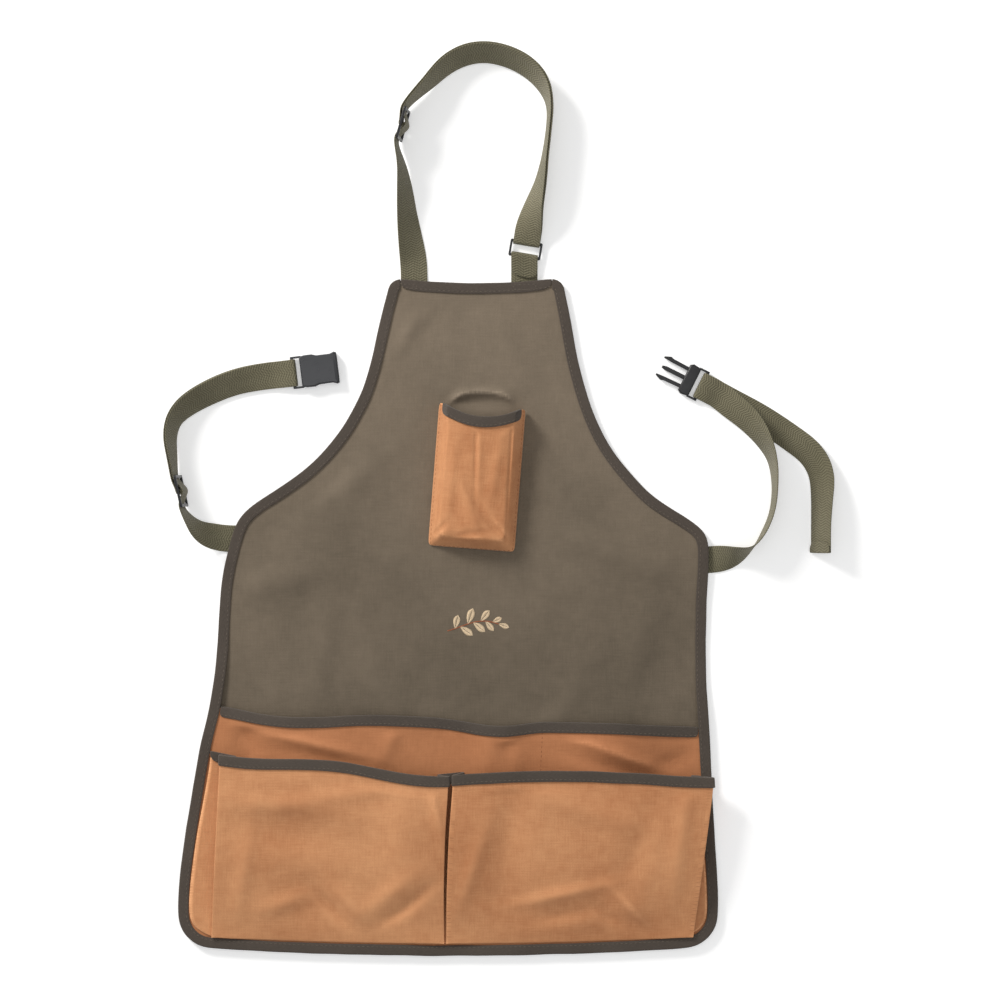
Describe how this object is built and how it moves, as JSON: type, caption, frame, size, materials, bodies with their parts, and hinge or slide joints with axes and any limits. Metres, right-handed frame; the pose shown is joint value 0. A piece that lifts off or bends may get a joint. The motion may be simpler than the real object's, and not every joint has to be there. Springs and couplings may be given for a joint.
{
  "type": "gardening apron",
  "caption": "Gardening apron of olive canvas with tan pleated tool pockets, a boxed bib pocket, dark edge tape, an adjustable neck strap and a side release waist buckle, lying face up.",
  "frame": {"origin": "on the floor under the middle of the waist, on the back of the body cloth", "axes": "+Y from the hem to the bib, +Z out of the apron's front, +X to the right seen from the front"},
  "size_m": [0.624, 0.8507, 0.0306],
  "materials": {
    "olive_canvas": "matt canvas",
    "tan_canvas": "matt canvas",
    "dark_tape": "twill tape",
    "green_webbing": "woven webbing",
    "black_plastic": "moulded"
  },
  "bodies": {
    "root": {"body_panel": "olive_canvas", "edge_binding": "dark_tape", "bib_binding": "dark_tape", "rear_pocket": "tan_canvas", "rear_pocket_binding": "dark_tape", "front_pocket": "tan_canvas", "front_pocket_binding": "dark_tape", "bib_pocket": "tan_canvas", "bib_pocket_binding": "dark_tape", "neck_strap": "green_webbing", "neck_stub": "green_webbing", "neck_slider": "black_plastic", "neck_ring": "black_plastic", "waist_strap_left": "green_webbing", "waist_slider": "black_plastic", "buckle_socket": "black_plastic", "waist_strap_right": "green_webbing", "buckle_plug": "black_plastic"}
  },
  "joints": []
}
